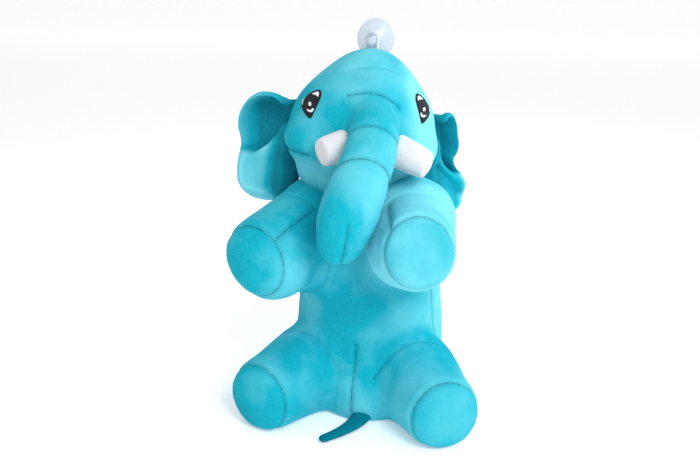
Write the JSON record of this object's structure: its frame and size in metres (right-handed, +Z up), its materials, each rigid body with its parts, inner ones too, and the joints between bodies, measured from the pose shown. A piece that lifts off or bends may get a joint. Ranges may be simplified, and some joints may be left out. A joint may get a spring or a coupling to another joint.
{
  "type": "stuffed elephant",
  "caption": "Sitting plush elephant with a hanging trunk, floppy ears, blunt tusks, outstretched legs, a tail, and a clear suction cup looped to its crown.",
  "frame": {"origin": "middle of the bounding box, on the surface that the toy sits on", "axes": "+Z up, the toy's body faces -Y, its own left side is +X"},
  "size_m": [0.1989, 0.1775, 0.2925],
  "materials": {
    "turquoise_plush": "short brushed pile, matt with a pale sheen",
    "white_plush": "short brushed pile",
    "embroidery": "satin stitch",
    "fibrefill": "loose polyester fibre",
    "soft_pvc": "clear, glossy",
    "white_cord": "twisted thread"
  },
  "bodies": {
    "torso": {"belly_panel_left": "turquoise_plush", "belly_panel_right": "turquoise_plush", "back_panel_left": "turquoise_plush", "back_panel_right": "turquoise_plush", "torso_stuffing": "fibrefill"},
    "head": {"chin_panel": "turquoise_plush", "nape_panel": "turquoise_plush", "crown_strip": "turquoise_plush", "cheek_panel_left": "turquoise_plush", "cheek_panel_right": "turquoise_plush", "head_stuffing": "fibrefill", "eye_left": "embroidery", "tusk_left": "white_plush", "eye_right": "embroidery", "tusk_right": "white_plush", "hanging_loop": "white_cord"},
    "ear_left": {"ear_left_front": "turquoise_plush", "ear_left_back": "turquoise_plush"},
    "ear_right": {"ear_right_front": "turquoise_plush", "ear_right_back": "turquoise_plush"},
    "trunk": {"trunk_upper_cover": "turquoise_plush", "trunk_under_cover": "turquoise_plush", "trunk_stuffing": "fibrefill"},
    "tail": {"tail": "turquoise_plush"},
    "suction_cup": {"suction_cup": "soft_pvc"},
    "foreleg_left": {"foreleg_left_outer_cover": "turquoise_plush", "foreleg_left_inner_cover": "turquoise_plush", "foreleg_left_pad": "turquoise_plush", "foreleg_left_stuffing": "fibrefill"},
    "hindleg_left": {"hindleg_left_outer_cover": "turquoise_plush", "hindleg_left_inner_cover": "turquoise_plush", "hindleg_left_pad": "turquoise_plush", "hindleg_left_stuffing": "fibrefill"},
    "foreleg_right": {"foreleg_right_outer_cover": "turquoise_plush", "foreleg_right_inner_cover": "turquoise_plush", "foreleg_right_pad": "turquoise_plush", "foreleg_right_stuffing": "fibrefill"},
    "hindleg_right": {"hindleg_right_outer_cover": "turquoise_plush", "hindleg_right_inner_cover": "turquoise_plush", "hindleg_right_pad": "turquoise_plush", "hindleg_right_stuffing": "fibrefill"}
  },
  "joints": [
    {"name": "neck_nod", "type": "hinge", "parent": "torso", "child": "head", "pos_m": [-0.00057, 0.02722, 0.178], "axis": [-0.9511, -0.309, 0], "range_deg": [-8, 12], "stiffness_Nm_per_rad": 0.9},
    {"name": "trunk_swing", "type": "hinge", "parent": "head", "child": "trunk", "pos_m": [0.01678, -0.01446, 0.2239], "axis": [-0.9903, -0.1392, 0], "range_deg": [-6, 45], "stiffness_Nm_per_rad": 0.3},
    {"name": "ear_left_flap", "type": "hinge", "parent": "head", "child": "ear_left", "pos_m": [0.04631, 0.05402, 0.16546], "axis": [-0.1159, -0.0377, -0.9925], "range_deg": [-18, 22], "stiffness_Nm_per_rad": 0.06},
    {"name": "ear_right_flap", "type": "hinge", "parent": "head", "child": "ear_right", "pos_m": [-0.05564, 0.02089, 0.17863], "axis": [0.1159, 0.0377, 0.9925], "range_deg": [-18, 22], "stiffness_Nm_per_rad": 0.06},
    {"name": "foreleg_left_swing", "type": "hinge", "parent": "torso", "child": "foreleg_left", "pos_m": [0.04343, 0.00322, 0.139], "axis": [-0.9744, -0.225, 0], "range_deg": [-35, 16], "stiffness_Nm_per_rad": 0.4},
    {"name": "foreleg_right_swing", "type": "hinge", "parent": "torso", "child": "foreleg_right", "pos_m": [-0.02857, 0.00322, 0.139], "axis": [-0.9397, 0.342, 0], "range_deg": [-35, 16], "stiffness_Nm_per_rad": 0.4},
    {"name": "hindleg_left_spread", "type": "hinge", "parent": "torso", "child": "hindleg_left", "pos_m": [0.04143, 0.01022, 0.0245], "axis": [0, 0, 1], "range_deg": [-3, 22], "stiffness_Nm_per_rad": 0.4},
    {"name": "hindleg_right_spread", "type": "hinge", "parent": "torso", "child": "hindleg_right", "pos_m": [-0.02657, 0.01022, 0.0245], "axis": [0, 0, -1], "range_deg": [-3, 22], "stiffness_Nm_per_rad": 0.4},
    {"name": "tail_sweep", "type": "hinge", "parent": "torso", "child": "tail", "pos_m": [0.02043, -0.01378, 0.007], "axis": [0, 0, 1], "range_deg": [-4, 8], "stiffness_Nm_per_rad": 0.03},
    {"name": "cup_tilt", "type": "hinge", "parent": "head", "child": "suction_cup", "pos_m": [0.00543, 0.04772, 0.277], "axis": [1, 0, 0], "range_deg": [-2, 18], "stiffness_Nm_per_rad": 0.015}
  ]
}
